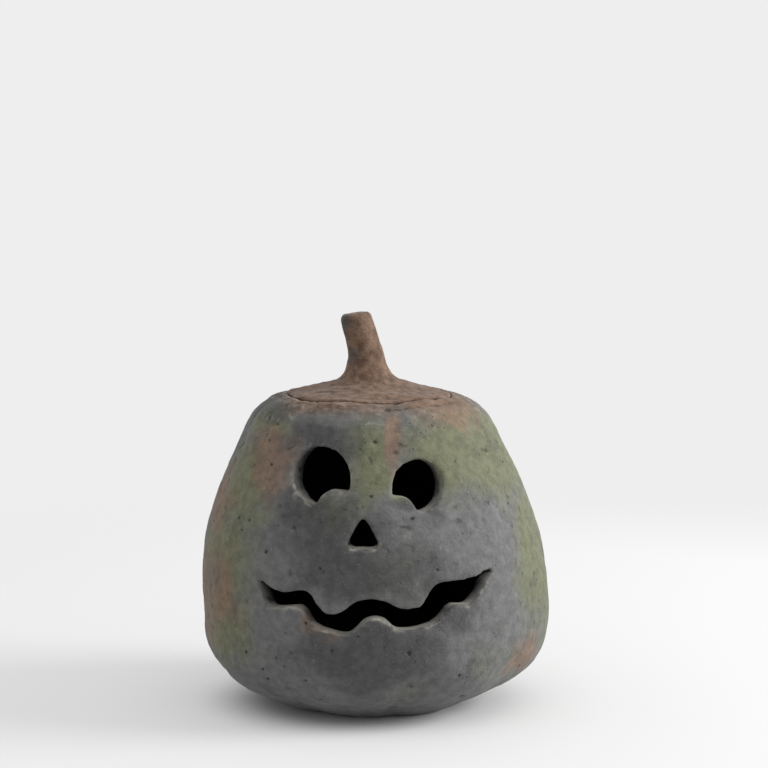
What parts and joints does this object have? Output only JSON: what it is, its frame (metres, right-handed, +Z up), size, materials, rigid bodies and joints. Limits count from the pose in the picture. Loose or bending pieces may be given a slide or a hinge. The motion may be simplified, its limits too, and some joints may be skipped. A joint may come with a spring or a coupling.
{
  "type": "ceramic pumpkin lantern",
  "caption": "Hollow jack-o'-lantern of smoke-fired clay with a cut face, a lift-off crown with a leaning stem, and a battery tea light standing inside.",
  "frame": {"origin": "on the ground under the middle of the foot", "axes": "+Z up through the stem, the face looks along -Y, +X to the viewer's right"},
  "size_m": [0.2002, 0.2002, 0.2266],
  "materials": {
    "clay_body": "unglazed smoke-fired clay, dark grey with green and brown patches, matt",
    "clay_crown": "unglazed clay with a brown dusty bloom, matt",
    "felt": "pressed felt",
    "case_plastic": "moulded, satin",
    "flame_plastic": "thin frosted moulding",
    "led_epoxy": "clear cast epoxy",
    "board_laminate": "solder-masked laminate",
    "contact_steel": "nickel-plated strip",
    "cell_steel": "pressed can",
    "switch_plastic": "moulded"
  },
  "bodies": {
    "pumpkin": {"pumpkin_shell": "clay_body", "base_slab": "clay_body", "felt_pads": "felt"},
    "crown": {"lid": "clay_crown", "stem": "clay_crown"},
    "tea_light": {"light_case": "case_plastic", "flame": "flame_plastic", "led": "led_epoxy", "circuit_board": "board_laminate", "negative_contact": "contact_steel", "positive_contact": "contact_steel", "coin_cell": "cell_steel", "base_plate": "case_plastic"},
    "door": {"battery_door": "case_plastic"},
    "switch": {"switch_slider": "switch_plastic"}
  },
  "joints": [
    {"name": "crown_lift", "type": "slide", "parent": "pumpkin", "child": "crown", "axis": [0, 0, 1], "range_m": [0, 0.1]},
    {"name": "light_lift", "type": "slide", "parent": "pumpkin", "child": "tea_light", "axis": [0, 0, 1], "range_m": [0, 0.11]},
    {"name": "door_turn", "type": "hinge", "parent": "tea_light", "child": "door", "pos_m": [0.0018, 0, 0.011], "axis": [0, 0, 1], "range_deg": [0, 45]},
    {"name": "switch_slide", "type": "slide", "parent": "tea_light", "child": "switch", "axis": [0, 1, 0], "range_m": [0, 0.003]}
  ]
}
